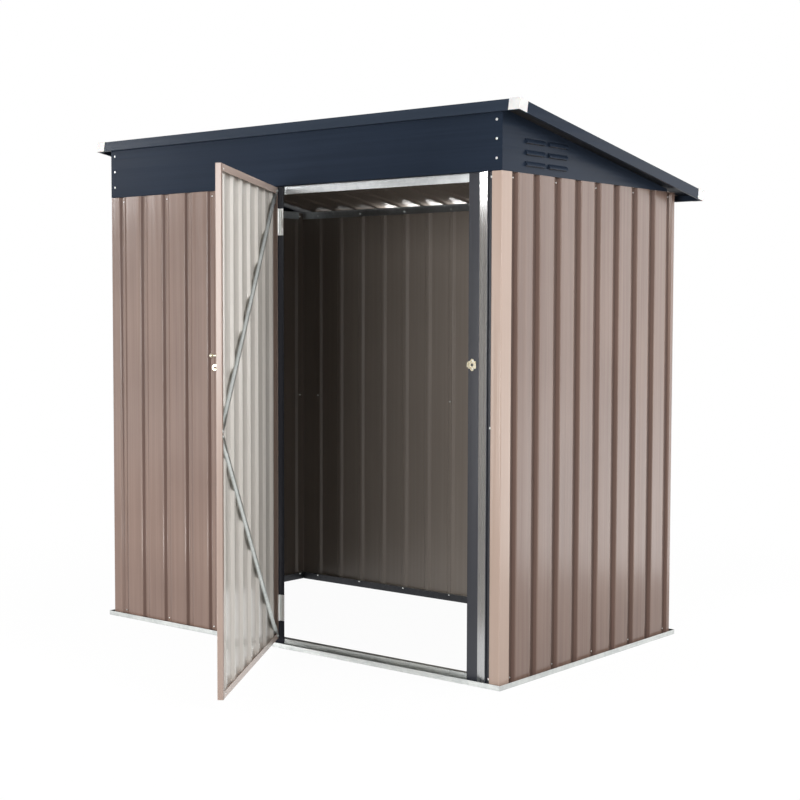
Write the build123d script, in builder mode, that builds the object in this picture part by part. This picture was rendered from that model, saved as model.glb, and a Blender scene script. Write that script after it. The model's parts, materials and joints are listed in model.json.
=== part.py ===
from build123d import *
from math import atan, atan2, cos, degrees, radians, sin
import os

os.makedirs("parts", exist_ok=True)

# Lean-to steel garden shed, door standing open.
# Frame: X to the right seen from the door side, Y towards the back, Z up.
# The origin is the middle of the walls' outline, at the level it stands on.

# Walls
wall_w = 1820.0
wall_d = 1066.0
wall_h = 1600.0
sheet_t = 1.0
rib_pitch = 120.0
rib_depth = 9.0
rib_mouth = 34.0
rib_floor = 16.0
bend_r = 2.5
seat = 0.3
front_first_rib = 61.0
side_first_rib = 70.0
back_first_rib = 40.0
back_sheet_ribs = 5
corner_leg = 39.0
min_face = 20.0

# Base rails
rail_t = 1.2
rail_lip_h = 17.0
rail_outset = 14.0
rail_upright_h = 30.0
rail_fold_w = 16.0
rail_bend = 2.0
anchor_r = 4.0
anchor_inset = 250.0
mitre_gap = 0.8

# Top rails
top_rail_h = 28.0
top_rail_flange = 30.0

# Doorway and jambs
doorway_w = 794.5
stop_w = 41.0
reveal_w = 38.0
hinge_stop_w = 21.0
stop_recess = 10.0
jamb_groove = 14.0

# Header and gables
header_fold = 25.0
gable_low_end = 10.0
roof_gap = 0.2

# Roof
roof_rise = 0.177
roof_over_side = 69.0
roof_over_front = 9.0
roof_over_back = 84.0
trim_h = 36.0
trim_drop = 13.0
trim_t = 1.0
trim_cover = 30.0
trim_hem = 8.0
trim_bend = 1.6
cap_size = 40.0
cap_t = 1.5
cap_round = 1.3

# Louvres in the gables
louvre_len = 106.0
louvre_pitch = 35.0
louvre_h = 15.0
louvre_out = 8.0
louvre_rows = 3
louvre_cols = 2
louvre_in = 175.0
louvre_col_pitch = 127.0
louvre_up = 30.0

# Door, measured from its hinge pin
door_open = 57.0
pin_aside = 19.5
pin_in = 4.0
door_edge_gap = 6.0
door_lap = 44.0
door_t = 18.0
door_low = 31.0
door_top_gap = 5.0
door_first_rib = 61.0
stile_flange = 14.0
door_rail_flange = 22.0
frame_t = 1.0
frame_bend = 1.8

# Braces on the inside of the door
brace_w = 26.0
brace_t = 0.9
brace_strap = 75.0
brace_strap_w = 15.0
brace_corner_in = 12.0
brace_latch_in = 10.0
brace_latch_gap = 12.0

# Hinges
leaf_t = 1.6
leaf_h = 92.0
pin_r = 2.5
pin_play = 0.05
knuckle_r = 4.0
knuckle_gap = 0.5
hinge_from_low = 106.0
hinge_from_high = 117.0

# Strike plate, knob and padlock eye
latch_z = 1005.0
strike_w = 30.0
strike_h = 38.0
strike_t = 1.0
strike_lobe_r = 7.0
strike_hole_r = 5.0
tongue_w = 10.0
tongue_h = 14.0
knob_plate_w = 22.0
knob_plate_h = 33.0
knob_plate_t = 2.0
plate_corner_r = 3.0
knob_r = 6.0
knob_out = 24.0
knob_rise = 35.0
eye_r = 9.0
eye_hole_r = 4.0
eye_t = 3.0
eye_stem = 4.0
latch_inset = 41.0

# Derived lines
face_y = -wall_d / 2
side_x = wall_w / 2
floor_in = rib_depth + 2 * sheet_t
rail_in = floor_in + seat
roof_angle = atan(roof_rise)
roof_high = wall_h + wall_d * roof_rise
doorway_right = side_x - corner_leg - jamb_groove - reveal_w - stop_w
doorway_left = doorway_right - doorway_w
pin_x = doorway_left - pin_aside
pin_y = face_y + pin_in
door_w = doorway_right + door_lap - pin_x - door_edge_gap
door_high = wall_h - door_top_gap
door_middle = (door_low + door_high) / 2


# One pressed valley: its points along the wall from its middle, and their depths
rib_shape = (
    (-rib_mouth / 2, 0),
    (-rib_floor / 2, rib_depth),
    (rib_floor / 2, rib_depth),
    (rib_mouth / 2, 0),
)


def write(piece, label):
    piece.part.label = label
    export_step(piece.part, "parts/" + label + ".step")


def rib_line(start, end, ribs, layer):
    """Outer line of a ribbed sheet: wide flats with narrow valleys pressed inwards at each rib."""
    low = layer * sheet_t
    points = [(rib + reach, low + depth) for rib in ribs for reach, depth in rib_shape]
    start_deep = rib_depth * any(abs(start - rib) < rib_floor / 2 for rib in ribs)
    end_deep = rib_depth * any(abs(end - rib) < rib_floor / 2 for rib in ribs)
    inner = [point for point in points if start < point[0] < end]
    return [(start, low + start_deep), *inner, (end, low + end_deep)]


def sheet_face(line, thickness, side=Side.LEFT, bend=bend_r):
    """The strip of metal between a line with rounded bends and the same line one thickness to its side."""
    with BuildSketch() as strip:
        with BuildLine() as path:
            FilletPolyline(*line, radius=bend)
            offset(path.line, amount=thickness, side=side, kind=Kind.INTERSECTION)
        make_face()
    return strip.sketch


# Wall planes: local x runs along the wall, local y goes into the building
wall_planes = {
    "front": Plane(origin=(-side_x, face_y, 0), x_dir=(1, 0, 0), z_dir=(0, 0, 1)),
    "right": Plane(origin=(side_x, face_y, 0), x_dir=(0, 1, 0), z_dir=(0, 0, 1)),
    "back": Plane(origin=(side_x, -face_y, 0), x_dir=(-1, 0, 0), z_dir=(0, 0, 1)),
    "left": Plane(origin=(-side_x, -face_y, 0), x_dir=(0, -1, 0), z_dir=(0, 0, 1)),
}
wall_length = {"front": wall_w, "right": wall_d, "back": wall_w, "left": wall_d}

sheet_low = rail_t + seat
sheet_high = wall_h - seat


def rib_places(first, last):
    """Middles of the ribs from the first one on, one pitch apart, as far as the last place goes."""
    return [first + rib_pitch * k for k in range(int((last - first) / rib_pitch) + 1)]


jamb_face_start = side_x + doorway_left - hinge_stop_w - reveal_w
front_ribs = rib_places(front_first_rib, jamb_face_start - rib_mouth / 2 - min_face)
side_ribs = rib_places(side_first_rib, wall_d - rib_mouth)
back_ribs = rib_places(back_first_rib, wall_w - rib_mouth)

# Wall sheets
lap = rib_floor / 2 - bend_r
back_lap_at = len(back_ribs) // 2 + 1
back_lap_one = back_ribs[back_lap_at - back_sheet_ribs]
back_lap_two = back_ribs[back_lap_at]

panels = (
    ("front_panel", "front", front_ribs[0] - lap, front_ribs[-1] + lap, front_ribs, 1),
    ("right_panel", "right", side_ribs[0] - lap, side_ribs[-1] + lap, side_ribs, 1),
    ("left_panel", "left", wall_d - side_ribs[-1] - lap, wall_d - side_ribs[0] + lap,
     [wall_d - r for r in reversed(side_ribs)], 1),
    ("back_panel_right", "back", back_ribs[0] - lap, back_lap_one + lap, back_ribs, 1),
    ("back_panel_middle", "back", back_lap_one - lap, back_lap_two + lap, back_ribs, 0),
    ("back_panel_left", "back", back_lap_two - lap, back_ribs[-1] + lap, back_ribs, 1),
)
for label, wall, start, end, ribs, layer in panels:
    with BuildPart() as panel:
        with BuildSketch(wall_planes[wall].offset(sheet_low)):
            add(sheet_face(rib_line(start, end, ribs, layer), sheet_t))
        extrude(amount=sheet_high - sheet_low)
    write(panel, label)

# Corner pieces: folded round each corner, each edge lapping over the next sheet's valley
corner_reach = {
    "corner_front_right": ("right", side_ribs[0], None),
    "corner_back_right": ("back", back_ribs[0], wall_d - side_ribs[-1]),
    "corner_back_left": ("left", wall_d - side_ribs[-1], wall_w - back_ribs[-1]),
    "corner_front_left": ("front", front_ribs[0], side_ribs[0]),
}
for label, (wall, after, before) in corner_reach.items():
    if before is None:
        tail = [(rib_depth, corner_leg), (0, corner_leg), (0, 0)]
    else:
        tail = [
            (rib_depth, before + lap),
            (rib_depth, before - rib_floor / 2),
            (0, before - rib_mouth / 2),
            (0, 0),
        ]
    head = [(after - rib_mouth / 2, 0), (after - rib_floor / 2, rib_depth), (after + lap, rib_depth)]
    with BuildPart() as corner:
        with BuildSketch(wall_planes[wall].offset(sheet_low)):
            add(sheet_face(tail + head, sheet_t))
        extrude(amount=sheet_high - sheet_low)
    write(corner, label)

# Base rails: an outer lip, a trough for the sheets and a folded upright behind them, mitred
rail_profile = [
    (-rail_outset, rail_lip_h),
    (-rail_outset, 0),
    (rail_in + rail_t, 0),
    (rail_in + rail_t, rail_upright_h),
    (rail_in + rail_fold_w, rail_upright_h),
]
for wall, plane in wall_planes.items():
    length = wall_length[wall]
    reach = rail_outset + 1
    section = Plane(origin=plane.origin, x_dir=plane.y_dir, z_dir=plane.x_dir)
    with BuildPart() as rail:
        with BuildSketch(section.offset(-reach)):
            add(sheet_face(rail_profile, rail_t, bend=rail_bend))
        extrude(amount=length + 2 * reach)
        near = Plane(origin=plane.origin, z_dir=plane.x_dir - plane.y_dir)
        split(bisect_by=near.offset(mitre_gap / 2), keep=Keep.TOP)
        far = Plane(origin=plane.origin + plane.x_dir * length, z_dir=-plane.x_dir - plane.y_dir)
        split(bisect_by=far.offset(mitre_gap / 2), keep=Keep.TOP)
        if wall in ("front", "back"):
            anchor_y = plane.origin.Y - plane.y_dir.Y * rail_outset / 2
            with Locations((side_x - anchor_inset, anchor_y, 0), (anchor_inset - side_x, anchor_y, 0)):
                Hole(anchor_r)
    write(rail, "base_rail_" + wall)

# Top rails: an angle behind the sheets, its leg up against them and its flange inwards
for wall, plane in wall_planes.items():
    length = wall_length[wall]
    end_in = rail_in if wall in ("front", "back") else rail_in + top_rail_flange + seat
    section = Plane(origin=plane.origin, x_dir=plane.y_dir, z_dir=plane.x_dir)
    top_profile = [
        (rail_in + rail_t, sheet_high - top_rail_h),
        (rail_in + rail_t, sheet_high),
        (rail_in + top_rail_flange, sheet_high),
    ]
    with BuildPart() as rail:
        with BuildSketch(section.offset(end_in)):
            add(sheet_face(top_profile, rail_t, Side.RIGHT, rail_bend))
        extrude(amount=length - 2 * end_in)
    write(rail, "top_rail_" + wall)

# Door jambs: groove, raised face, slope to the recessed stop that the door closes on
right_jamb = [
    (doorway_right, stop_recess),
    (doorway_right + stop_w, stop_recess),
    (doorway_right + stop_w + reveal_w, 0),
    (doorway_right + stop_w + reveal_w, rib_depth),
    (doorway_right + stop_w + reveal_w + jamb_groove - sheet_t, rib_depth),
]
left_rib_x = front_ribs[-1] - side_x
left_jamb = [
    (left_rib_x - lap, rib_depth),
    (left_rib_x + rib_floor / 2, rib_depth),
    (left_rib_x + rib_mouth / 2, 0),
    (jamb_face_start - side_x, 0),
    (doorway_left - hinge_stop_w, stop_recess),
    (doorway_left, stop_recess),
]
front_line = Plane(origin=(0, face_y, sheet_low), x_dir=(1, 0, 0), z_dir=(0, 0, 1))
for label, outline in (("door_jamb_right", right_jamb), ("door_jamb_left", left_jamb)):
    with BuildPart() as jamb:
        with BuildSketch(front_line):
            add(sheet_face(outline, sheet_t))
        extrude(amount=sheet_high - sheet_low)
    write(jamb, label)

# Header over the front wall, folded inwards at its lower edge
header_top = roof_high - sheet_t * roof_rise - roof_gap
header_line = [(0, header_top), (0, wall_h), (header_fold, wall_h)]
with BuildPart() as header:
    with BuildSketch(Plane(origin=(-side_x, face_y, 0), x_dir=(0, 1, 0), z_dir=(1, 0, 0))):
        add(sheet_face(header_line, sheet_t))
    extrude(amount=wall_w)
    with BuildSketch(Plane(origin=(0, face_y + header_fold, wall_h))):
        with Locations((-side_x, 0), (side_x, 0)):
            Rectangle(2 * rail_in, 2 * (header_fold - sheet_t))
    extrude(amount=2 * sheet_t, mode=Mode.SUBTRACT)
write(header, "header_panel")

# Gables: the sloping end sheets, each with rows of louvres pressed outwards and open below
gable_back_y = -face_y - gable_low_end / roof_rise
hood_arc = [
    (0, louvre_h / 2),
    (louvre_out * 0.7, louvre_h / 8),
    (louvre_out, -louvre_h / 2),
]
slot_arc = [
    (-sheet_t, louvre_h / 2 - sheet_t),
    (louvre_out * 0.7 - sheet_t, louvre_h / 8 - sheet_t),
    (louvre_out - sheet_t, -louvre_h / 2),
]
for label, side in (("gable_right", 1), ("gable_left", -1)):
    with BuildPart() as gable:
        with BuildSketch(Plane(origin=(side * side_x, 0, 0), x_dir=(0, side, 0), z_dir=(side, 0, 0))):
            near = side * (face_y + sheet_t)
            far = side * gable_back_y
            far_top = wall_h + gable_low_end - roof_gap
            Polygon((near, wall_h), (far, wall_h), (far, far_top), (near, header_top), align=None)
        extrude(amount=-sheet_t)
        middles = []
        for row in range(louvre_rows):
            for col in range(louvre_cols):
                louvre_y = face_y + louvre_in + col * louvre_col_pitch
                louvre_z = wall_h + louvre_up + row * louvre_pitch
                middles.append((side * side_x, louvre_y, louvre_z))
        for arc, length, mode in (
            (hood_arc, louvre_len, Mode.ADD),
            (slot_arc, louvre_len - 2 * sheet_t, Mode.SUBTRACT),
        ):
            for middle in middles:
                with BuildSketch(Plane(origin=middle, x_dir=(side, 0, 0), z_dir=(0, -side, 0))):
                    with BuildLine():
                        ThreePointArc(*arc)
                        Polyline(arc[-1], (arc[0][0], -louvre_h / 2), arc[0])
                    make_face()
                extrude(amount=length / 2, both=True, mode=mode)
    write(gable, label)

# Roof frame: x to the right, y down the slope, z square to the roof, on the sheets' underside
roof = Plane(
    origin=(0, face_y, roof_high),
    x_dir=(1, 0, 0),
    z_dir=(0, sin(roof_angle), cos(roof_angle)),
)
slope_front = -roof_over_front / cos(roof_angle)
slope_back = (wall_d + roof_over_back) / cos(roof_angle)
roof_x = side_x + roof_over_side


def on_roof(x, y, z):
    """A point given across the roof, down its slope and square to it."""
    return roof.from_local_coords(Vector(x, y, z))


# Roof sheets: ribs run down the slope, three sheets lapping in their valleys
roof_inset = trim_t + seat
roof_top = rib_depth + 2 * sheet_t
roof_count = int(2 * (roof_x - rib_mouth) / rib_pitch)
roof_ribs = [roof_x + (k - (roof_count - 1) / 2) * rib_pitch for k in range(roof_count)]
lap_one = roof_ribs[roof_count // 3]
lap_two = roof_ribs[2 * roof_count // 3]
roof_sheets = (
    ("roof_panel_left", roof_inset, lap_one + lap, 0),
    ("roof_panel_middle", lap_one - lap, lap_two + lap, 1),
    ("roof_panel_right", lap_two - lap, 2 * roof_x - roof_inset, 0),
)
across = Plane(
    origin=on_roof(-roof_x, slope_front + roof_inset, roof_top),
    x_dir=(1, 0, 0),
    z_dir=roof.y_dir,
)
for label, start, end, layer in roof_sheets:
    with BuildPart() as sheet:
        with BuildSketch(across):
            add(sheet_face(rib_line(start, end, roof_ribs, layer), sheet_t))
        extrude(amount=slope_back - slope_front - 2 * roof_inset)
    write(sheet, label)

# Roof trims: an edge strip with a hem below and a cover that folds down on the sheets
trim_top = trim_h - trim_drop
trim_profile = [
    (trim_hem, -trim_drop),
    (0, -trim_drop),
    (0, trim_top),
    (trim_cover, trim_top),
    (trim_cover, roof_top),
]
trim_lines = {
    "front": (on_roof(0, slope_front, 0), roof.x_dir, roof_x),
    "back": (on_roof(0, slope_back, 0), -roof.x_dir, roof_x),
    "right": (on_roof(roof_x, (slope_front + slope_back) / 2, 0), roof.y_dir, (slope_back - slope_front) / 2),
    "left": (on_roof(-roof_x, (slope_front + slope_back) / 2, 0), -roof.y_dir, (slope_back - slope_front) / 2),
}
for side, (middle, along, half) in trim_lines.items():
    inwards = roof.z_dir.cross(along)
    section = Plane(origin=middle, x_dir=inwards, z_dir=along)
    with BuildPart() as trim:
        with BuildSketch(section.offset(-half)):
            add(sheet_face(trim_profile, trim_t, Side.RIGHT, trim_bend))
        extrude(amount=2 * half)
        start = Plane(origin=middle - along * half, z_dir=along - inwards)
        split(bisect_by=start, keep=Keep.TOP)
        stop = Plane(origin=middle + along * half, z_dir=-along - inwards)
        split(bisect_by=stop, keep=Keep.TOP)
    write(trim, "roof_trim_" + side)

# White caps over the roof's corners
for label, x_side, y_side in (
    ("roof_cap_front_right", 1, -1),
    ("roof_cap_front_left", -1, -1),
    ("roof_cap_back_right", 1, 1),
    ("roof_cap_back_left", -1, 1),
):
    slope_end = slope_front if y_side < 0 else slope_back
    corner_at = Plane(
        origin=on_roof(x_side * roof_x, slope_end, -trim_drop),
        x_dir=(x_side, 0, 0),
        z_dir=roof.z_dir,
    )
    reach = y_side * x_side
    with BuildPart() as cap:
        with BuildSketch(corner_at):
            Polygon(
                (cap_t, cap_t * reach),
                (cap_t, -cap_size * reach),
                (-cap_size, -cap_size * reach),
                (-cap_size, cap_t * reach),
                align=None,
            )
        extrude(amount=trim_h + cap_t)
        tip = corner_at.from_local_coords(Vector(cap_t, cap_t * reach, trim_h + cap_t))
        fillet(cap.edges().sort_by_distance(tip)[:3], radius=cap_round)
        with BuildSketch(corner_at):
            Polygon(
                (0, 0),
                (0, -2 * cap_size * reach),
                (-2 * cap_size, -2 * cap_size * reach),
                (-2 * cap_size, 0),
                align=None,
            )
        extrude(amount=trim_h, mode=Mode.SUBTRACT)
    write(cap, label)

# Door frame: local x from the hinge pin to the latch edge, local y from the outer face inwards
door = Plane(
    origin=(pin_x, pin_y, 0),
    x_dir=(cos(radians(door_open)), -sin(radians(door_open)), 0),
    z_dir=(0, 0, 1),
)
edge_in = door_edge_gap
edge_out = door_edge_gap + door_w
skin_y = frame_t - door_t
skin_ribs = rib_places(door_first_rib, edge_out - rib_mouth)
inner_y = skin_y + rib_depth + sheet_t


def in_door(x, y, z):
    """A point given along the door from its pin, in from its inner face and up."""
    return door.from_local_coords(Vector(x, y, z))


# Door sheet
with BuildPart() as door_panel:
    skin_plane = Plane(origin=in_door(0, skin_y, door_low + frame_bend), x_dir=door.x_dir, z_dir=(0, 0, 1))
    with BuildSketch(skin_plane):
        add(sheet_face(rib_line(edge_in + frame_bend, edge_out - frame_bend, skin_ribs, 0), sheet_t))
    extrude(amount=door_high - door_low - 2 * frame_bend)
write(door_panel, "door_panel")

# Door stiles and rails: channels folded over the sheet's edges
channel = [(stile_flange, -door_t), (0, -door_t), (0, 0), (stile_flange, 0)]
for label, at, facing in (("door_stile_hinge", edge_in, 1), ("door_stile_latch", edge_out, -1)):
    line = [(facing * x, y) for x, y in channel]
    side = Side.LEFT if facing < 0 else Side.RIGHT
    with BuildPart() as stile:
        with BuildSketch(Plane(origin=in_door(at, 0, door_low), x_dir=door.x_dir, z_dir=(0, 0, 1))):
            add(sheet_face(line, frame_t, side, frame_bend))
        extrude(amount=door_high - door_low)
    write(stile, label)

rail_channel = [
    (-door_t, stile_flange),
    (-door_t, 0),
    (0, 0),
    (0, door_rail_flange),
]
for label, at, facing in (("door_rail_bottom", door_low, 1), ("door_rail_top", door_high, -1)):
    line = [(y, facing * z) for y, z in rail_channel]
    side = Side.LEFT if facing > 0 else Side.RIGHT
    section = Plane(origin=in_door(edge_in + stile_flange, 0, at), x_dir=door.y_dir, z_dir=door.x_dir)
    with BuildPart() as rail:
        with BuildSketch(section):
            add(sheet_face(line, frame_t, side, frame_bend))
        extrude(amount=door_w - 2 * stile_flange)
    write(rail, label)

# Braces: hat sections from the hinge corners to the middle of the latch stile. Their crowns stand level
# with the frame's inner face, so that a flat round-ended strap at each end lies on it.
brace_h = -inner_y
hat = [
    (0, -brace_w / 2),
    (0, -brace_w / 4),
    (brace_h, -brace_w / 8),
    (brace_h, brace_w / 8),
    (0, brace_w / 4),
    (0, brace_w / 2),
]
inner_face = Plane(origin=in_door(0, 0, 0), x_dir=door.x_dir, z_dir=-door.y_dir)
strap_r = brace_strap_w / 2
for label, corner_z, up in (("door_brace_upper", door_high, 1), ("door_brace_lower", door_low, -1)):
    corner_end = Vector(edge_in + brace_corner_in, corner_z - up * brace_corner_in)
    latch_end = Vector(edge_out - brace_latch_in, door_middle + up * (strap_r + seat))
    a = in_door(corner_end.X, inner_y, corner_end.Y)
    b = in_door(latch_end.X, inner_y, latch_end.Y)
    run = (latch_end - corner_end).normalized()
    strap_turn = degrees(atan2(run.Y, run.X))
    strap_shift = run * (brace_strap / 2 - strap_r)
    with BuildPart() as brace:
        with BuildSketch(Plane(origin=a, x_dir=door.y_dir, z_dir=(b - a).normalized())):
            add(sheet_face(hat, brace_t, Side.RIGHT, 0))
        extrude(amount=(b - a).length)
        hinge_flange = in_door(edge_in + stile_flange + seat, 0, 0)
        split(bisect_by=Plane(origin=hinge_flange, z_dir=door.x_dir), keep=Keep.TOP)
        latch_flange = in_door(edge_out - stile_flange - brace_latch_gap, 0, 0)
        split(bisect_by=Plane(origin=latch_flange, z_dir=-door.x_dir), keep=Keep.TOP)
        rail_flange = in_door(0, 0, corner_z - up * (door_rail_flange + seat))
        split(bisect_by=Plane(origin=rail_flange, z_dir=(0, 0, -up)), keep=Keep.TOP)
        with BuildSketch(inner_face):
            for middle in (corner_end + strap_shift, latch_end - strap_shift):
                with Locations((middle.X, middle.Y)):
                    SlotOverall(brace_strap, brace_strap_w, rotation=strap_turn)
        extrude(amount=-brace_t)
    write(brace, label)

# Hinges: a leaf on the jamb's stop and a leaf on the door's edge, rolled round one pin
leaf_reach = doorway_left - pin_x - sheet_t
stop_y = stop_recess - pin_in
third = leaf_h / 3
for place, middle in (("lower", door_low + hinge_from_low), ("upper", door_high - hinge_from_high)):
    low = middle - leaf_h / 2
    with BuildPart() as fixed:
        for start in (low, low + 2 * third):
            with BuildSketch(Plane(origin=(pin_x, pin_y, start + knuckle_gap))):
                Circle(knuckle_r)
                Circle(pin_r + pin_play, mode=Mode.SUBTRACT)
            extrude(amount=third - 2 * knuckle_gap)
            with BuildSketch(Plane(origin=(pin_x, pin_y, start + knuckle_gap))):
                with Locations((0, (knuckle_r - leaf_t / 2 + stop_y) / 2)):
                    Rectangle(leaf_t, stop_y - knuckle_r + leaf_t / 2)
            extrude(amount=third - 2 * knuckle_gap)
        with BuildSketch(Plane(origin=(pin_x, pin_y, low + knuckle_gap))):
            with Locations((leaf_reach / 2, stop_y - leaf_t / 2)):
                Rectangle(leaf_reach + leaf_t, leaf_t)
        extrude(amount=leaf_h - 2 * knuckle_gap)
    write(fixed, "hinge_leaf_jamb_" + place)
    with BuildPart() as moving:
        with BuildSketch(Plane(origin=in_door(0, 0, low + third), x_dir=door.x_dir, z_dir=(0, 0, 1))):
            Circle(knuckle_r)
            with Locations((edge_in / 2, -leaf_t / 2)):
                Rectangle(edge_in, leaf_t)
        extrude(amount=third)
        with BuildSketch(Plane(origin=in_door(0, 0, low), x_dir=door.x_dir, z_dir=(0, 0, 1))):
            Circle(pin_r)
        extrude(amount=leaf_h)
    write(moving, "hinge_leaf_door_" + place)

# Strike plate on the right jamb: a pressed plate with two round lobes and a tongue past the jamb's edge
strike_at = Plane(
    origin=(doorway_right + strike_w / 2, face_y + stop_recess, latch_z),
    x_dir=(1, 0, 0),
    z_dir=(0, -1, 0),
)
with BuildPart() as strike:
    with BuildSketch(strike_at):
        RectangleRounded(strike_w, strike_h - 2 * strike_lobe_r, plate_corner_r)
        with Locations((0, strike_h / 2 - strike_lobe_r), (0, strike_lobe_r - strike_h / 2)):
            Circle(strike_lobe_r)
        with Locations((-strike_w / 2, 0)):
            Rectangle(tongue_w, tongue_h)
        Circle(strike_hole_r, mode=Mode.SUBTRACT)
    extrude(amount=strike_t)
write(strike, "strike_plate")

# Knob and padlock eye on the outside of the door, on the flat beside the latch stile
latch_x = edge_out - latch_inset
knob_at = Plane(
    origin=in_door(latch_x, skin_y, latch_z + knob_rise),
    x_dir=door.x_dir,
    z_dir=-door.y_dir,
)
with BuildPart() as knob:
    with BuildSketch(knob_at):
        RectangleRounded(knob_plate_w, knob_plate_h, plate_corner_r)
    extrude(amount=knob_plate_t)
    with BuildSketch(knob_at):
        Circle(knob_r / 2)
    extrude(amount=knob_out)
    with Locations(knob_at.offset(knob_out)):
        Sphere(knob_r)
write(knob, "door_knob")

eye_at = Plane(
    origin=in_door(latch_x - eye_t / 2, skin_y, latch_z),
    x_dir=-door.y_dir,
    z_dir=door.x_dir,
)
with BuildPart() as eye:
    with BuildSketch(eye_at):
        with Locations(((eye_r + eye_stem) / 2, 0)):
            Rectangle(eye_r + eye_stem, eye_r)
        with Locations((eye_r + eye_stem, 0)):
            Circle(eye_r)
            Circle(eye_hole_r, mode=Mode.SUBTRACT)
    extrude(amount=eye_t)
write(eye, "padlock_eye")
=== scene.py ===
import json
import math

import bpy
import numpy as np
from mathutils import Euler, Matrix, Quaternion, Vector
from mathutils.bvhtree import BVHTree


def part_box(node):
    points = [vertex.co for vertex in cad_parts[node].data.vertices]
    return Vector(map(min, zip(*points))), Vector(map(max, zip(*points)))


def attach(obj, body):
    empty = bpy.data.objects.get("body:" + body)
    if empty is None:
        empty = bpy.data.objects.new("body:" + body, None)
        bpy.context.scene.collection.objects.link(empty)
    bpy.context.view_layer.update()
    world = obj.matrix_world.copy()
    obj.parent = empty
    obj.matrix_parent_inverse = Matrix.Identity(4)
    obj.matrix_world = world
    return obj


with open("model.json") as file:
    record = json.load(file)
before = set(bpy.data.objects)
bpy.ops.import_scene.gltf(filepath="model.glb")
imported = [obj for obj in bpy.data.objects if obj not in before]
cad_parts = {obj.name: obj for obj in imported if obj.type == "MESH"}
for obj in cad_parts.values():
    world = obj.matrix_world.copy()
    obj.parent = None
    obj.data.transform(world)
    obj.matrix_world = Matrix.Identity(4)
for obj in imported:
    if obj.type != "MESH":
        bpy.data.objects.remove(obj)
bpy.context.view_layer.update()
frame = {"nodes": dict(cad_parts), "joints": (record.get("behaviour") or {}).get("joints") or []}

# Base rails: roll-formed channels of hot-dip galvanised steel, mitred at the corners. They lie on the ground,
# hold the wall sheets in their trough and show a bright brushed lip outside. The uprights that face into the
# shed at the back and sides get a dark copy of the zinc: painted shade, for the shed's shade on them.


def linear(shade):
    """A hex colour, as a screen shows it, turned to the linear values that a shader takes."""
    parts = np.array([int(shade[k:k + 2], 16) / 255 for k in (0, 2, 4)])
    parts = np.where(parts <= 0.04045, parts / 12.92, ((parts + 0.055) / 1.055) ** 2.4)
    return (*(float(part) for part in parts), 1.0)


def add(tree, kind, settings, links):
    """Adds a node, gives it its settings, and fills or links its inputs."""
    made = tree.nodes.new("ShaderNode" + kind)
    for name, value in settings.items():
        setattr(made, name, value)
    for name, value in links.items():
        if isinstance(value, bpy.types.NodeSocket):
            tree.links.new(value, made.inputs[name])
        else:
            made.inputs[name].default_value = value
    return made


def start_finish(name, stretch, turn=0.0):
    """A new material and its object coordinates in metres, plain, and turned about the upright axis and then
    stretched, so that a pattern runs along one way."""
    finish = bpy.data.materials.new(name)
    finish.use_nodes = True
    tree = finish.node_tree
    tree.nodes.clear()
    place = add(tree, "TexCoord", {}, {})
    pull = tuple(1 / part for part in stretch)
    along = add(tree, "Mapping", {"vector_type": "TEXTURE"},
                {"Vector": place.outputs["Object"], "Rotation": (0, 0, turn), "Scale": pull})
    return finish, tree, place.outputs["Object"], along.outputs["Vector"]


def end_finish(tree, surface):
    add(tree, "OutputMaterial", {}, {"Surface": surface})


def blend_of(tree, factor, low, high):
    """A colour that goes from low to high, both hex, as the factor goes from 0.3 to 0.7, where noise mostly
    lies."""
    ramp = add(tree, "ValToRGB", {}, {"Fac": factor})
    ramp.color_ramp.elements[0].position = 0.3
    ramp.color_ramp.elements[1].position = 0.7
    ramp.color_ramp.elements[0].color = linear(low)
    ramp.color_ramp.elements[1].color = linear(high)
    return ramp.outputs["Color"]


def span_of(tree, factor, low, high):
    """A number that goes from low to high as the factor goes from 0.25 to 0.75, where noise mostly lies."""
    limits = {"From Min": 0.25, "From Max": 0.75, "To Min": low, "To Max": high}
    return add(tree, "MapRange", {}, {"Value": factor, **limits}).outputs["Result"]


spangle_width = 0.012
rolling_line = 0.004


def galvanised(name, stretch, dull, bright):
    """Hot-dip galvanised steel: faint zinc spangle, dulled patches, and fine rolling lines."""
    finish, tree, place, along = start_finish(name, stretch)
    spangle = add(tree, "TexVoronoi", {"feature": "F1"},
                  {"Vector": place, "Scale": 1 / spangle_width, "Randomness": 1.0})
    grey = add(tree, "SeparateColor", {}, {"Color": spangle.outputs["Color"]}).outputs["Red"]
    patch = add(tree, "TexNoise", {}, {"Vector": place, "Scale": 9.0, "Detail": 3.0}).outputs["Fac"]
    lines = add(tree, "TexNoise", {},
                {"Vector": along, "Scale": 1 / rolling_line, "Detail": 2.0}).outputs["Fac"]
    worn = add(tree, "Mix", {"data_type": "FLOAT"}, {"Factor": 0.45, "A": patch, "B": lines}).outputs["Result"]
    mixed = add(tree, "Mix", {"data_type": "FLOAT"}, {"Factor": 0.14, "A": worn, "B": grey}).outputs["Result"]
    height = add(tree, "Math", {"operation": "MULTIPLY_ADD"}, {0: grey, 1: 0.25, 2: lines}).outputs["Value"]
    bump = add(tree, "Bump", {}, {"Height": height, "Distance": 0.00008, "Strength": 0.5})
    skin = add(tree, "BsdfPrincipled", {}, {
        "Base Color": blend_of(tree, mixed, dull, bright),
        "Metallic": 1.0,
        "Roughness": span_of(tree, mixed, 0.36, 0.48),
        "Normal": bump.outputs["Normal"],
    })
    end_finish(tree, skin.outputs["BSDF"])
    return finish


def dress(names, *finishes):
    """Gives CAD nodes their finishes, the first one all over."""
    for name in names:
        slots = frame["nodes"][name].data.materials
        slots.clear()
        for finish in finishes:
            slots.append(finish)


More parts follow.
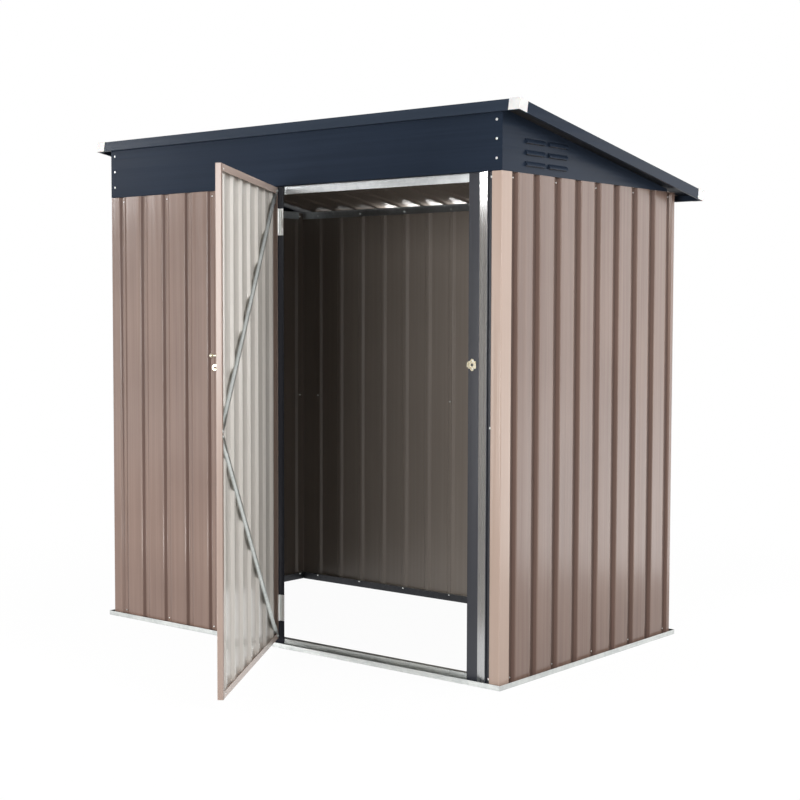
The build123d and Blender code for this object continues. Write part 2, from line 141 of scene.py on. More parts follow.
def of_polygons(mesh, what):
    """The normals or the centres of a mesh's polygons, one to a row."""
    values = np.empty(len(mesh.polygons) * 3, np.float32)
    mesh.polygons.foreach_get(what, values)
    return values.reshape(-1, 3)


def give_slots(mesh, which):
    """Tells each polygon the number of its finish."""
    mesh.polygons.foreach_set("material_index", which.astype(np.int32))
    mesh.update()


turned_inwards = -0.05
slope_depth = 0.0035
floor_depth = 0.0075


def two_sided(names, outward, sunk=None):
    """Gives a sheet's polygons their finishes; no vertex is touched. Outward is one way for the whole sheet, or
    a function of the polygons' middles. Those that face the other way get the second finish. Of those that face
    out, the third goes on a pressed valley's slopes and the fourth on its floor, by how deep they are sunk."""
    for name in names:
        mesh = frame["nodes"][name].data
        middles = of_polygons(mesh, "center")
        ways = outward(middles) if callable(outward) else np.array(outward)
        which = ((of_polygons(mesh, "normal") * ways).sum(1) < turned_inwards).astype(np.int32)
        if sunk is not None:
            deep = sunk(middles)
            which[(which == 0) & (deep > slope_depth)] = 2
            which[(which == 2) & (deep > floor_depth)] = 3
        give_slots(mesh, which)


zinc_along_x = galvanised("galvanised_rail_along_x", (0.02, 1, 1), "bcc0bf", "dcdedb")
zinc_along_y = galvanised("galvanised_rail_along_y", (1, 0.02, 1), "bcc0bf", "dcdedb")
# painted shade: a dark copy of the rail zinc for the uprights that face into the shed
painted_shade_zinc = galvanised("galvanised_inner_upright_painted_shade", (1, 1, 1), "343538", "48494c")
dress(["base_rail_front"], zinc_along_x)
dress(["base_rail_back"], zinc_along_x, painted_shade_zinc)
dress(("base_rail_left", "base_rail_right"), zinc_along_y, painted_shade_zinc)
rail_out = {"base_rail_back": (0, 1, 0), "base_rail_left": (-1, 0, 0), "base_rail_right": (1, 0, 0)}
for name, out in rail_out.items():
    two_sided([name], out)

# Top rails: folded galvanised angles that run along the walls' tops, under the roof. They show through the
# doorway, in a cooler zinc than the base rails', with the rolling lines along each.
dull_along_x = galvanised("dull_galvanised_angle_along_x", (0.02, 1, 1), "c4c9cb", "e0e3e4")
dull_along_y = galvanised("dull_galvanised_angle_along_y", (1, 0.02, 1), "c4c9cb", "e0e3e4")
dress(("top_rail_front", "top_rail_back"), dull_along_x)
dress(("top_rail_left", "top_rail_right"), dull_along_y)

# Wall sheets and folded corner pieces: cold-rolled steel coil with a baked polyester coat, taupe outside and
# a duller grey-brown wash coat inside. Roll forming leaves soft upright streaks and slightly bowed flats. The
# pressed valleys' slopes and floors get darker, duller copies of the taupe: painted shade for the shade in
# them.
rib_pitch = 0.12
rib_half_mouth = 0.017
rolled_edge = 0.007
edge_fall = 0.003
first_valley = {"front": -0.849, "side": -0.463, "back": 0.870}


def rolled_edges(tree, place, normal, way, first):
    """The rolled bends beside the pressed valleys: over the last millimetres the flat falls away to the valley
    as the square of the distance gone. The distance is folded about the nearest valley's middle."""
    run = add(tree, "SeparateXYZ", {}, {"Vector": place}).outputs[way]
    ends = {1: first + rib_pitch / 2, 2: first - rib_pitch / 2}
    folded = add(tree, "Math", {"operation": "WRAP"}, {0: run, **ends}).outputs["Value"]
    aside = add(tree, "Math", {"operation": "SUBTRACT"}, {0: folded, 1: first}).outputs["Value"]
    aside = add(tree, "Math", {"operation": "ABSOLUTE"}, {0: aside}).outputs["Value"]
    limits = {
        "From Min": rib_half_mouth, "From Max": rib_half_mouth + rolled_edge,
        "To Min": 1.0, "To Max": 0.0,
    }
    near = add(tree, "MapRange", {}, {"Value": aside, **limits}).outputs["Result"]
    fall = add(tree, "Math", {"operation": "MULTIPLY"}, {0: near, 1: near}).outputs["Value"]
    bend = add(tree, "Bump", {"invert": True},
               {"Height": fall, "Distance": edge_fall, "Strength": 1.0, "Normal": normal})
    return bend.outputs["Normal"]


streak_width = 0.012
bow_width = 0.07
peel_width = 0.006


def coil_paint(name, shade, deep_shade, stretch, gloss, shine, turn=0.0, shell=1.5, ribs=None):
    """Baked polyester paint on rolled sheet: even colour, faint streaks and orange peel, bowed flats. Gloss is
    the lowest roughness, shine the specular level and shell the index of refraction."""
    finish, tree, place, along = start_finish(name, stretch, turn)
    streak = add(tree, "TexNoise", {},
                 {"Vector": along, "Scale": 1 / streak_width, "Detail": 3.0}).outputs["Fac"]
    bow = add(tree, "TexNoise", {}, {"Vector": along, "Scale": 1 / bow_width, "Detail": 1.0}).outputs["Fac"]
    peel = add(tree, "TexNoise", {}, {"Vector": place, "Scale": 1 / peel_width, "Detail": 2.0}).outputs["Fac"]
    cloud = add(tree, "TexNoise", {}, {"Vector": place, "Scale": 2.2, "Detail": 3.0}).outputs["Fac"]
    tone = add(tree, "Mix", {"data_type": "FLOAT"},
               {"Factor": 0.5, "A": cloud, "B": streak}).outputs["Result"]
    wide = add(tree, "Math", {"operation": "MULTIPLY_ADD"}, {0: bow, 1: 6.0, 2: streak}).outputs["Value"]
    height = add(tree, "Math", {"operation": "MULTIPLY_ADD"}, {0: peel, 1: 0.04, 2: wide}).outputs["Value"]
    normal = add(tree, "Bump", {}, {"Height": height, "Distance": 0.0007, "Strength": 0.6}).outputs["Normal"]
    if ribs is not None:
        normal = rolled_edges(tree, place, normal, *ribs)
    skin = add(tree, "BsdfPrincipled", {}, {
        "Base Color": blend_of(tree, tone, deep_shade, shade),
        "Roughness": span_of(tree, streak, gloss, gloss + 0.06),
        "IOR": shell,
        "Specular IOR Level": shine,
        "Normal": normal,
    })
    end_finish(tree, skin.outputs["BSDF"])
    return finish


upright = (1, 1, 0.015)
sheet_coil = ("836d62", "6e5950", upright, 0.20, 0.5)
taupe = coil_paint("taupe_polyester_sheet", *sheet_coil)
taupe_front = coil_paint("taupe_polyester_front_sheet", *sheet_coil, ribs=("X", first_valley["front"]))
taupe_side = coil_paint("taupe_polyester_side_sheet", *sheet_coil, ribs=("Y", first_valley["side"]))
taupe_back = coil_paint("taupe_polyester_back_sheet", *sheet_coil, ribs=("X", first_valley["back"]))
# painted shade: a darker, duller taupe for the pressed valleys' slopes
painted_shade_slope_taupe = coil_paint("taupe_polyester_slope_painted_shade", "6a554d", "604d45", upright, 0.34, 0.12)
# painted shade: a still darker taupe for the valleys' floors on the side and back walls and corners
painted_shade_valley_taupe = coil_paint("taupe_polyester_valley_painted_shade", "5c4a42", "53423b", upright, 0.36, 0.10)
# painted light: a paler copy of the wall taupe, for the light on the front-right corner
painted_light_corner_taupe = coil_paint("taupe_polyester_corner_painted_light", "b39d90", "ab9587", upright, 0.22, 0.5)
wash_coat = coil_paint("wash_coated_sheet_back", "9f958c", "938980", upright, 0.34, 0.5)

low_front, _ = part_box("corner_front_left")
_, high_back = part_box("corner_back_right")
wall_out = {"front": (0, -1, 0), "right": (1, 0, 0), "back": (0, 1, 0), "left": (-1, 0, 0)}
wall_of = {"front_panel": "front", "right_panel": "right", "left_panel": "left"}
wall_of.update({"back_panel_" + part: "back" for part in ("left", "middle", "right")})


def depth_in_wall(middles):
    """How far each point lies inside the outer face of the wall that it is nearest to."""
    return np.minimum(high_back.x - np.abs(middles[:, 0]), -low_front.y - np.abs(middles[:, 1]))


for name, wall in wall_of.items():
    flat = {"front": taupe_front, "back": taupe_back}.get(wall, taupe_side)
    dress([name], flat, wash_coat, painted_shade_slope_taupe, taupe if wall == "front" else painted_shade_valley_taupe)
    two_sided([name], wall_out[wall], depth_in_wall)


def corner_outward(middles):
    """For each point of a corner piece, the outward way of the wall that it lies nearer to."""
    to_side = high_back.x - np.abs(middles[:, 0])
    to_end = -low_front.y - np.abs(middles[:, 1])
    side_way = np.sign(middles[:, 0])[:, None] * np.array([[1.0, 0.0, 0.0]])
    end_way = np.sign(middles[:, 1])[:, None] * np.array([[0.0, 1.0, 0.0]])
    return np.where((to_side < to_end)[:, None], side_way, end_way)


four_corners = ("front_left", "front_right", "back_left", "back_right")
corners = ["corner_" + place for place in four_corners]
dress(corners, taupe, wash_coat, painted_shade_slope_taupe, painted_shade_valley_taupe)
dress(["corner_front_left"], taupe, wash_coat, painted_shade_slope_taupe, taupe)
# the front-right corner gets the paler taupe, painted light for the light that falls on it
dress(["corner_front_right"], painted_light_corner_taupe, wash_coat, painted_shade_slope_taupe, painted_shade_valley_taupe)
two_sided(corners, corner_outward, depth_in_wall)

# Screws of the walls: zinc-plated pan-head screws in the valleys of the sheets, each with a hex nut on its
# end inside the building. The ones of the header, jamb, roof and door's sheet sit on soft white PVC washers.
zinc_plate = galvanised("zinc_plated_screw", (1, 1, 1), "d6d8d6", "eeefec")


def washer_plastic():
    """Soft PVC: milky, a little see-through at the rim, satin."""
    finish, tree, place, _ = start_finish("soft_pvc_washer", (1, 1, 1))
    fog = add(tree, "TexNoise", {}, {"Vector": place, "Scale": 1 / 0.003, "Detail": 2.0}).outputs["Fac"]
    bump = add(tree, "Bump", {}, {"Height": fog, "Distance": 0.0001, "Strength": 0.4})
    skin = add(tree, "BsdfPrincipled", {}, {
        "Base Color": blend_of(tree, fog, "dcdcd8", "f0efec"),
        "Roughness": span_of(tree, fog, 0.35, 0.5),
        "Subsurface Weight": 0.15,
        "Subsurface Scale": 0.002,
        "Normal": bump.outputs["Normal"],
    })
    end_finish(tree, skin.outputs["BSDF"])
    return finish


milky_pvc = washer_plastic()


def turned(places, ways, profile, sides, lobes=0.0):
    """Points of a turned part, copied to many places: radius and height go along the profile, the angle goes
    round, and lobes pulls the inner rings in towards a four-armed star, which makes a cross recess."""
    places = np.asarray(places, float)
    ways = np.asarray(ways, float)
    ways = ways / np.linalg.norm(ways, axis=1, keepdims=True)
    spare = np.where(np.abs(ways[:, 2:]) < 0.9, [[0.0, 0.0, 1.0]], [[1.0, 0.0, 0.0]])
    first = np.cross(spare, ways)
    first /= np.linalg.norm(first, axis=1, keepdims=True)
    second = np.cross(ways, first)
    radius, height, star = np.array(profile, float).T
    angle = np.arange(sides) * 2 * np.pi / sides
    ring = radius[:, None] * (1 - lobes * star[:, None] * (1 - np.cos(4 * angle)) / 2)
    flat = (
        ring[None, :, :, None] * np.cos(angle)[None, None, :, None] * first[:, None, None, :]
        + ring[None, :, :, None] * np.sin(angle)[None, None, :, None] * second[:, None, None, :]
    )
    return places[:, None, None, :] + flat + height[None, :, None, None] * ways[:, None, None, :]


def rings_mesh(name, points, finish):
    """A mesh from rings of points, copy by ring by angle: quads between rings, and a fan shuts each end."""
    copies, rings, sides, _ = points.shape
    index = np.arange(copies * rings * sides).reshape(copies, rings, sides)
    turn = np.roll(index, -1, axis=2)
    quads = np.stack([index[:, :-1], turn[:, :-1], turn[:, 1:], index[:, 1:]], -1).reshape(-1, 4)
    ends = np.concatenate([index[:, 0, ::-1], index[:, -1]])
    mesh = bpy.data.meshes.new(name)
    mesh.from_pydata(points.reshape(-1, 3).tolist(), [], quads.tolist() + ends.tolist())
    mesh.materials.append(finish)
    mesh.update()
    made = bpy.data.objects.new(name, mesh)
    bpy.context.scene.collection.objects.link(made)
    return made


def fasten(name, places, ways, body, size, washers=True, nut_depth=None):
    """Screw heads at the places, facing the ways, with washers under them and nuts that deep behind them.
    The size is the head's radius; every ring is a share of it."""
    places = np.array(places, float)
    ways = np.array(ways, float)
    under = 0.22 * size if washers else 0.0
    head = [(0.98, 0.0, 0), (1.0, 0.22, 0), (0.89, 0.45, 0), (0.67, 0.58, 0), (0.49, 0.62, 0.8),
            (0.40, 0.36, 0.9), (0.09, 0.31, 0.0)]
    head = [(radius * size, height * size + under, star) for radius, height, star in head]
    made = [rings_mesh(name + "_heads", turned(places, ways, head, 24, lobes=1.0), zinc_plate)]
    if washers:
        washer = [(0.67, 0.0, 0), (1.38, 0.0, 0), (1.47, 0.09, 0), (1.38, 0.22, 0), (0.67, 0.26, 0)]
        washer = [(radius * size, height * size, 0) for radius, height, star in washer]
        made.append(rings_mesh(name + "_washers", turned(places, ways, washer, 20), milky_pvc))
    if nut_depth is not None:
        nut = [(0.0020, 0.0, 0), (0.0040, 0.0, 0), (0.0040, 0.0026, 0), (0.0036, 0.0030, 0),
               (0.0021, 0.0030, 0)]
        thread = [(0.0020, 0.0028, 0), (0.0020, 0.0058, 0), (0.0014, 0.0064, 0)]
        behind = places - ways * nut_depth
        made.append(rings_mesh(name + "_nuts", turned(behind, -ways, nut, 6), zinc_plate))
        made.append(rings_mesh(name + "_bolt_ends", turned(behind, -ways, thread, 10), zinc_plate))
    for piece in made:
        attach(piece, body)
    return made


def landing(names, starts, way):
    """Where straight lines from the starts first meet the named nodes, and which way those faces look."""
    spots = []
    faces = []
    for name in names:
        mesh = frame["nodes"][name].data
        points = np.empty(len(mesh.vertices) * 3, np.float32)
        mesh.vertices.foreach_get("co", points)
        corners = np.empty(len(mesh.loops), np.int32)
        mesh.loops.foreach_get("vertex_index", corners)
        faces.append(corners.reshape(-1, 3) + sum(len(part) for part in spots))
        spots.append(points.reshape(-1, 3))
    tree = BVHTree.FromPolygons(np.concatenate(spots).tolist(), np.concatenate(faces).tolist())
    hits = [tree.ray_cast(Vector(start), Vector(way)) for start in starts]
    hits = [hit for hit in hits if hit[0] is not None]
    return [tuple(hit[0]) for hit in hits], [tuple(hit[1]) for hit in hits]


def screw_row(name, nodes, starts, out, size, **kind):
    """Screws where straight lines from the starts, against the outward way, meet the shed's nodes. The heads
    face that way."""
    spots, _ = landing(nodes, starts, -np.array(out, float))
    fasten(name, spots, np.tile(out, (len(spots), 1)), "shed", size, **kind)


lap_in = 0.0055
base_screw_z = 0.025
middle_screw_z = 0.811
top_screw_z = 1.583
front_low, front_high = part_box("front_panel")
side_low, side_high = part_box("right_panel")
back_low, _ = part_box("back_panel_left")
_, back_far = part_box("back_panel_right")
front_valleys = np.arange(front_low.x + lap_in, front_high.x, rib_pitch)
side_valleys = np.arange(side_low.y + lap_in, side_high.y, rib_pitch)
back_valleys = np.arange(back_low.x + lap_in, back_far.x, rib_pitch)
back_laps = (6, 11)
outside = 1.2
behind_wall = {"washers": False, "nut_depth": 0.0033}
walls = (
    ("front", front_valleys, ["front_panel", "corner_front_left", "door_jamb_left"]),
    ("right", side_valleys, ["right_panel", "corner_front_right", "corner_back_right"]),
    ("left", side_valleys, ["left_panel", "corner_front_left", "corner_back_left"]),
    ("back", back_valleys, ["back_panel_left", "back_panel_middle", "back_panel_right", "corner_back_left",
                            "corner_back_right"]),
)
for wall, valleys, sheets in walls:
    out = np.array(wall_out[wall], float)
    along = np.array([abs(out[1]), abs(out[0]), 0.0])
    laps = {"back": (0, *back_laps, len(valleys) - 1), "left": (0, len(valleys) - 1)}.get(wall, ())
    rows = {base_screw_z: valleys[::2], middle_screw_z: valleys[list(laps)]}
    starts = [out * outside + along * valley + np.array([0, 0, height])
              for height, row in rows.items() for valley in row]
    screw_row("screws_" + wall + "_wall", sheets, starts, out, 0.0026, **behind_wall)
    starts = [out * outside + along * valley + np.array([0, 0, top_screw_z]) for valley in valleys[::2]]
    screw_row("top_screws_" + wall + "_wall", sheets, starts, out, 0.0024, **behind_wall)

# Door jambs, header, gables and roof trims: the same coil steel in a dark slate polyester, folded into flats
# and slopes. The right jamb's slope has a much glossier one, so that it mirrors the lamps as in the
# photograph. Screws on washers hold the header at its ends and the right jamb at its edge.
slate = coil_paint("slate_polyester_jamb", "2c2e36", "282a31", upright, 0.30, 0.5)
# painted shade: a darker, duller copy of the jamb slate for the left jamb, in the open door's shade
painted_shade_slate = coil_paint("slate_polyester_jamb_painted_shade", "24252b", "1f2026", upright, 0.34, 0.10)
slate_bright = coil_paint("slate_polyester_rolled_slope", "2c2e36", "282a31", upright, 0.24, 0.5, shell=6.0)
slate_level = coil_paint("slate_polyester_strip", "252e3c", "202834", (0.015, 1, 1), 0.30, 0.03)
slate_sloped = coil_paint("slate_polyester_roof", "252e3c", "202834", (1, 0.015, 1), 0.30, 0.10)
# the left jamb gets the darker slate, painted shade
dress(["door_jamb_left"], painted_shade_slate)
dress(["door_jamb_right"], slate, slate_bright)
slope_to_left = -0.15
slope_to_front = -0.8
jamb_mesh = frame["nodes"]["door_jamb_right"].data
facing = of_polygons(jamb_mesh, "normal")
give_slots(jamb_mesh, (facing[:, 0] < slope_to_left) & (facing[:, 1] < slope_to_front))
dress(["header_panel"], slate_level)
slate_trim = coil_paint("slate_polyester_trim", "2c3542", "27303c", (0.015, 1, 1), 0.30, 0.12)
dress(("roof_trim_front", "roof_trim_back"), slate_trim)
dress(("gable_left", "gable_right", "roof_trim_left", "roof_trim_right"), slate_sloped)
end_inset = 0.021
edge_inset = 0.006
header_screw_z = (1.638, 1.697, 1.755)
thin_nut_depth = 0.003
starts = [(side * (high_back.x - end_inset), -outside, z) for side in (-1, 1) for z in header_screw_z]
screw_row("screws_header", ["header_panel"], starts, wall_out["front"], 0.0029, nut_depth=thin_nut_depth)
_, jamb_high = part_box("door_jamb_right")
starts = [(jamb_high.x - edge_inset, -outside, z) for z in (base_screw_z, middle_screw_z, top_screw_z)]
screw_row("screws_jamb", ["door_jamb_right"], starts, wall_out["front"], 0.0026, nut_depth=thin_nut_depth)

# Roof sheets: three ribbed sheets of slate coil steel above, with the grey-brown wash coat below, lapped in
# their valleys and screwed down along the front and back edges.
roof_sheets = ["roof_panel_" + part for part in ("left", "middle", "right")]
wash_roof = coil_paint("wash_coated_roof_back", "9f958c", "938980", (1, 0.015, 1), 0.38, 0.12)
dress(roof_sheets, slate_sloped, wash_roof)
two_sided(roof_sheets, (0, 0, 1))
_, gable_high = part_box("gable_right")
eaves_start = 0.045
eaves_full = 0.040


def paint_shade_under_side_eaves(finish):
    """Painted shade under the side overhangs: beyond the side walls the underside's colour goes over to a
    near-black slate, where the distance from the middle, sideways, passes the walls'. Sockets 6 and 7 of the
    mix are its two colours."""
    tree = finish.node_tree
    skin = next(node for node in tree.nodes if node.type == "BSDF_PRINCIPLED")
    inner = skin.inputs["Base Color"].links[0].from_socket
    place = add(tree, "TexCoord", {}, {}).outputs["Object"]
    across = add(tree, "SeparateXYZ", {}, {"Vector": place}).outputs["X"]
    far = add(tree, "Math", {"operation": "ABSOLUTE"}, {0: across}).outputs["Value"]
    limits = {"From Min": gable_high.x - eaves_start, "From Max": gable_high.x - eaves_full}
    beyond = add(tree, "MapRange", {}, {"Value": far, **limits}).outputs["Result"]
    mixed = add(tree, "Mix", {"data_type": "RGBA"}, {"Factor": beyond})
    tree.links.new(inner, mixed.inputs[6])
    # painted shade: the near-black colour under the side overhangs
    mixed.inputs[7].default_value = linear("1b1f26")
    tree.links.new(mixed.outputs[2], skin.inputs["Base Color"])


paint_shade_under_side_eaves(wash_roof)
_, roof_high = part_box("roof_panel_right")
valley_count = int(roof_high.x / rib_pitch)
above = 2.5
row_inset = 0.015
starts = [(number * rib_pitch, y, above) for number in range(-valley_count, valley_count + 1)
          for y in (front_low.y + row_inset, -front_low.y - row_inset)]
spots, ways = landing(roof_sheets, starts, (0, 0, -1))
fasten("screws_roof", spots, ways, "shed", 0.0036, nut_depth=thin_nut_depth)

# Corner caps of the roof: injection-moulded white polypropylene, one at each corner, pushed over the mitred
# trims to hide their cut ends.


def moulded_plastic():
    """Moulded polypropylene: white, satin, with the faint grain of an eroded mould."""
    finish, tree, place, _ = start_finish("moulded_white_polypropylene", (1, 1, 1))
    grain = add(tree, "TexNoise", {}, {"Vector": place, "Scale": 1 / 0.0025, "Detail": 2.0}).outputs["Fac"]
    cloud = add(tree, "TexNoise", {}, {"Vector": place, "Scale": 25.0, "Detail": 2.0}).outputs["Fac"]
    bump = add(tree, "Bump", {}, {"Height": grain, "Distance": 0.00015, "Strength": 0.4})
    skin = add(tree, "BsdfPrincipled", {}, {
        "Base Color": blend_of(tree, cloud, "d2d1cf", "e2e1df"),
        "Roughness": span_of(tree, grain, 0.36, 0.48),
        "Subsurface Weight": 0.1,
        "Subsurface Scale": 0.002,
        "Normal": bump.outputs["Normal"],
    })
    end_finish(tree, skin.outputs["BSDF"])
    return finish


caps = ["roof_cap_" + place for place in four_corners]
dress(caps, moulded_plastic())

# Door: a sheet like the walls' with an off-white backing coat inside, in a frame of folded channels whose
# stiles and rails get paler copies of the wall taupe, painted light for the light on the frame. Two galvanised
# braces meet at the latch side, and bright zinc hinges hang it on the left jamb.
swing = frame["joints"][0]
pin = np.array(swing["pos_m"], float)
opened = math.radians(swing["range_deg"][1])
door_along = np.array([math.cos(opened), -math.sin(opened), 0.0])
door_inwards = np.array([math.sin(opened), math.cos(opened), 0.0])
backing = coil_paint("off_white_backing_coat", "e2ddd6", "d6d0c8", upright, 0.16, 0.5)
hinge_low, hinge_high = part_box("door_stile_hinge")
latch_low, latch_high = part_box("door_stile_latch")
# This outward way, from the stiles' boxes, lies 0.46 degrees off the sheet's own, so the depths drift along the
# door. The valley nearest the latch keeps the flats' finish, and so do most slopes of the four before it.
run = np.array([latch_high.x - hinge_low.x, latch_low.y - hinge_high.y, 0.0])
run /= np.linalg.norm(run)
door_out = np.array([run[1], -run[0], 0.0])
skin_y = 0.017
# painted shade: the door's pressed valleys get the darker taupe on their slopes and floors
dress(["door_panel"], taupe, backing, painted_shade_slope_taupe, painted_shade_slope_taupe)
two_sided(["door_panel"], door_out, lambda middles: skin_y - (middles - pin) @ door_out)
# painted light: paler copies of the wall taupe on the door's stiles and rails
painted_light_stile_taupe = coil_paint("taupe_polyester_stile_painted_light", "a38f84", "9b877c", upright, 0.22, 0.5)
dress(("door_stile_hinge", "door_stile_latch"), painted_light_stile_taupe)
painted_light_rail_taupe = coil_paint("taupe_polyester_rail_painted_light", "cfbaae", "c7b2a5", (0.015, 1, 1), 0.22, 0.5, -opened)
dress(("door_rail_top", "door_rail_bottom"), painted_light_rail_taupe)
zinc_upright = galvanised("galvanised_brace", (1, 1, 0.05), "bcc1be", "e2e4e1")
dress(("door_brace_upper", "door_brace_lower"), zinc_upright)
bright_zinc = galvanised("bright_zinc_hinge", (1, 1, 0.2), "e6e8e6", "f6f6f4")
hinges = ["hinge_leaf_" + side + "_" + place for side in ("door", "jamb") for place in ("lower", "upper")]
dress(hinges, bright_zinc)


def from_pin(spots, outwards):
    """Points that far along the door from its pin and up, well clear of it on its outer or inner side."""
    clear = -0.1 if outwards else 0.1
    return [pin + door_along * along + door_inwards * clear + np.array([0, 0, up]) for along, up in spots]


door_nodes = ["door_panel", "door_stile_hinge", "door_stile_latch", "door_rail_top", "door_rail_bottom",
              "door_brace_upper", "door_brace_lower", "door_knob"]
brace_ends = [(0.018, 1.583), (0.018, 0.043), (0.848, 0.8208), (0.848, 0.8052)]
frame_corners = [(x, z) for x in (0.034, 0.830) for z in (0.046, 1.580)]
spots, ways = landing(door_nodes, from_pin(brace_ends + frame_corners, False), -door_inwards)
fasten("screws_door_frame", spots, ways, "door", 0.0032, washers=False)
door_first_valley = 0.061
door_width = 0.85
door_valleys = np.arange(door_first_valley, door_width, rib_pitch)
edge_spots = [(x, z) for x in door_valleys for z in (0.042, 1.584)]
spots, ways = landing(door_nodes, from_pin(edge_spots, True), door_inwards)
fasten("screws_door_sheet", spots, ways, "door", 0.0028)
leaf_low, leaf_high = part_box("hinge_leaf_jamb_lower")
upper_low, upper_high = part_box("hinge_leaf_jamb_upper")
leaf_middles = ((leaf_low.z + leaf_high.z) / 2, (upper_low.z + upper_high.z) / 2)
leaf_screw_up = (-0.033, 0.0, 0.033)
before_leaf = 0.001
starts = [(leaf_high.x - edge_inset, pin[1] - before_leaf, middle + up)
          for middle in leaf_middles for up in leaf_screw_up]
spots, ways = landing(["hinge_leaf_jamb_lower", "hinge_leaf_jamb_upper"], starts, (0, 1, 0))
fasten("screws_hinges", spots, ways, "shed", 0.0026, washers=False)

# Strike plate, knob and padlock eye: small pressed and cast parts with a yellow-white zinc plating, screwed
# to the right jamb and to the door's latch side.


def plated():
    """Yellow-white zinc plating on small pressed and cast parts, with faint wipe marks."""
    finish, tree, place, _ = start_finish("yellow_zinc_plating", (1, 1, 1))
    stain = add(tree, "TexNoise", {}, {"Vector": place, "Scale": 1 / 0.012, "Detail": 3.0}).outputs["Fac"]
    bump = add(tree, "Bump", {}, {"Height": stain, "Distance": 0.00015, "Strength": 0.5})
    skin = add(tree, "BsdfPrincipled", {}, {
        "Base Color": blend_of(tree, stain, "c9bfa4", "ded8c4"),
        "Metallic": 1.0,
        "Roughness": span_of(tree, stain, 0.22, 0.36),
        "Normal": bump.outputs["Normal"],
    })
    end_finish(tree, skin.outputs["BSDF"])
    return finish


dress(("strike_plate", "door_knob", "padlock_eye"), plated())
strike_low, strike_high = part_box("strike_plate")
strike_aside = 0.005
strike_x = (strike_low.x + strike_high.x) / 2 + strike_aside
starts = [(strike_x, -outside, (strike_low.z + strike_high.z) / 2 + up) for up in (-0.012, 0.012)]
spots, ways = landing(["strike_plate"], starts, (0, 1, 0))
fasten("screws_strike_plate", spots, ways, "shed", 0.0027, washers=False)
knob_spots = [(0.817, 1.0295), (0.817, 1.0505)]
spots, ways = landing(["door_knob"], from_pin(knob_spots, True), door_inwards)
fasten("screws_knob_plate", spots, ways, "door", 0.0022, washers=False)

# Studio: a pale floor that goes over into a white surround, rectangular soft lamps, most of them placed where
# the painted sheets mirror them, and the camera at the photograph's angle.


def studio_floor():
    """Pale matt floor that keeps the shadow near the shed and turns plain white further out."""
    finish, tree, place, _ = start_finish("pale_studio_floor", (1, 1, 1))
    reach = add(tree, "VectorMath", {"operation": "LENGTH"}, {"Vector": place}).outputs["Value"]
    away = add(tree, "MapRange", {"interpolation_type": "SMOOTHSTEP"},
               {"Value": reach, "From Min": 1.3, "From Max": 3.2}).outputs["Result"]
    sight = add(tree, "LightPath", {}, {})
    seen = add(tree, "Math", {"operation": "MAXIMUM"},
               {0: sight.outputs["Is Camera Ray"], 1: sight.outputs["Is Glossy Ray"]}).outputs["Value"]
    seen = add(tree, "Math", {"operation": "MAXIMUM"},
               {0: seen, 1: sight.outputs["Is Transmission Ray"]}).outputs["Value"]
    grain = add(tree, "TexNoise", {}, {"Vector": place, "Scale": 40.0, "Detail": 2.0}).outputs["Fac"]
    pale = blend_of(tree, grain, "f4f4f3", "f8f8f7")
    matt = add(tree, "BsdfDiffuse", {}, {"Color": pale}).outputs["BSDF"]
    glow = add(tree, "Emission", {}, {"Color": (1, 1, 1, 1), "Strength": 1.0}).outputs["Emission"]
    matt = add(tree, "MixShader", {}, {0: 0.965, 1: matt, 2: glow}).outputs["Shader"]
    dull = add(tree, "BsdfDiffuse", {}, {"Color": linear("929292")}).outputs["BSDF"]
    white = add(tree, "Emission", {}, {"Color": (1, 1, 1, 1), "Strength": 1.0}).outputs["Emission"]
    open_floor = add(tree, "MixShader", {}, {0: away, 1: matt, 2: white}).outputs["Shader"]
    both = add(tree, "MixShader", {}, {0: seen, 1: dull, 2: open_floor})
    end_finish(tree, both.outputs["Shader"])
    return finish


floor_mesh = bpy.data.meshes.new("studio_floor")
reach = 12.0
floor_mesh.from_pydata(
    [(-reach, -reach, 0), (reach, -reach, 0), (reach, reach, 0), (-reach, reach, 0)], [], [(0, 1, 2, 3)]
)
floor_mesh.materials.append(studio_floor())
floor = bpy.data.objects.new("studio_floor", floor_mesh)
bpy.context.scene.collection.objects.link(floor)

world = bpy.data.worlds.new("white_surround")
bpy.context.scene.world = world
world.use_nodes = True
sky = world.node_tree
sky.nodes.clear()
sight = add(sky, "LightPath", {}, {})
seen = add(sky, "Math", {"operation": "MAXIMUM"},
           {0: sight.outputs["Is Camera Ray"], 1: sight.outputs["Is Transmission Ray"]}).outputs["Value"]
way = add(sky, "TexCoord", {}, {}).outputs["Generated"]
height = add(sky, "SeparateXYZ", {}, {"Vector": way}).outputs["Z"]
level = add(sky, "MapRange", {}, {
    "Value": height, "From Min": 0.0, "From Max": 0.8, "To Min": 0.28, "To Max": 0.75,
}).outputs["Result"]
ambient = add(sky, "Background", {}, {"Color": (1, 1, 1, 1), "Strength": level}).outputs["Background"]
plain = add(sky, "Background", {}, {"Color": (1, 1, 1, 1), "Strength": 1.0}).outputs["Background"]
both = add(sky, "MixShader", {}, {0: seen, 1: ambient, 2: plain}).outputs["Shader"]
add(sky, "OutputWorld", {}, {"Surface": both})


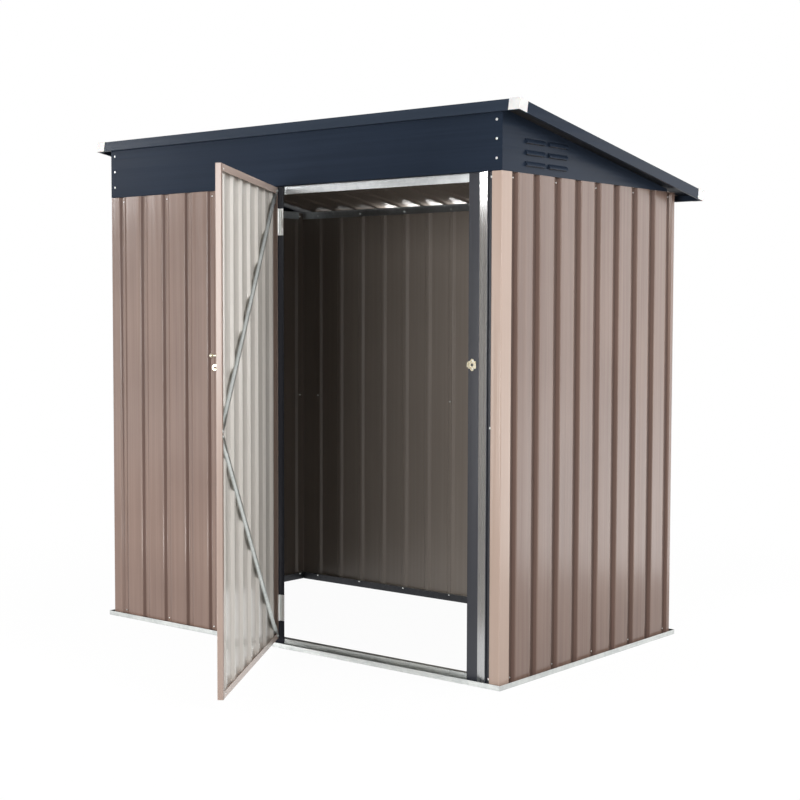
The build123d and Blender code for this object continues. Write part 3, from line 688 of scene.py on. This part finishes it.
def softbox(name, place, target, size, power):
    """A rectangular area lamp at a place, aimed at a target. The camera doesn't see it."""
    lamp = bpy.data.lights.new(name, "AREA")
    lamp.shape = "RECTANGLE"
    lamp.size, lamp.size_y = size
    lamp.energy = power
    made = bpy.data.objects.new(name, lamp)
    made.location = place
    made.visible_camera = False
    way = np.array(target, float) - np.array(place, float)
    made.rotation_euler = (
        math.atan2(math.hypot(way[0], way[1]), -way[2]), 0.0, math.atan2(way[1], way[0]) - math.pi / 2
    )
    bpy.context.scene.collection.objects.link(made)


softbox("lamp_front", (2.5, -5.8, 1.5), (0.4, -0.5, 0.9), (1.8, 1.8), 150)
softbox("lamp_front_left", (-0.9, -4.2, 0.8), (0.8, -0.53, 0.8), (1.0, 1.6), 44)
softbox("lamp_front_foot", (-0.6, -1.7, 0.15), (-0.55, -0.53, 0.12), (1.2, 0.1), 5)
softbox("lamp_left", (-4.3, -3.9, 0.9), (-0.5, -0.5, 0.9), (2.5, 1.5), 15)
softbox("lamp_left_high", (-4.6, -3.0, 2.5), (0.84, -0.54, 1.4), (0.8, 1.2), 70)
softbox("lamp_right_high", (4.0, 0.4, 4.2), (0.6, -0.3, 0.9), (1.2, 1.2), 38)
softbox("lamp_right", (4.4, -1.2, 2.6), (0.5, -0.7, 0.9), (0.8, 1.6), 56)
softbox("lamp_right_strip", (4.8, 0.5, 1.7), (0.6, -0.6, 1.0), (0.45, 2.2), 26)
softbox("lamp_right_back", (1.80, 1.42, 1.01), (0.91, 0.0, 1.01), (1.2, 2.0), 14.5)
_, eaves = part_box("roof_trim_back")
softbox("lamp_back_eaves", (0.1, eaves.y - 0.024, 1.577), (0.1, eaves.y - 0.045, 1.62), (1.2, 0.02), 1.5)

# The camera: place, angles in radians and focal length in pixels come from a fit to the photograph's corners.
focal_px = 1498.2
frame_px = 800
camera = bpy.data.cameras.new("camera")
camera.sensor_width = 36.0
camera.lens = camera.sensor_width * focal_px / frame_px
view = bpy.data.objects.new("camera", camera)
view.location = (3.5741, -4.2751, 1.1611)
yaw, pitch, roll = 0.6859, -0.0570, 0.0028
view.rotation_mode = "QUATERNION"
turn = Euler((math.pi / 2 + pitch, 0.0, yaw)).to_quaternion()
view.rotation_quaternion = turn @ Quaternion((0, 0, 1), roll)
bpy.context.scene.collection.objects.link(view)
bpy.context.scene.camera = view
bpy.context.scene.view_settings.view_transform = "Standard"
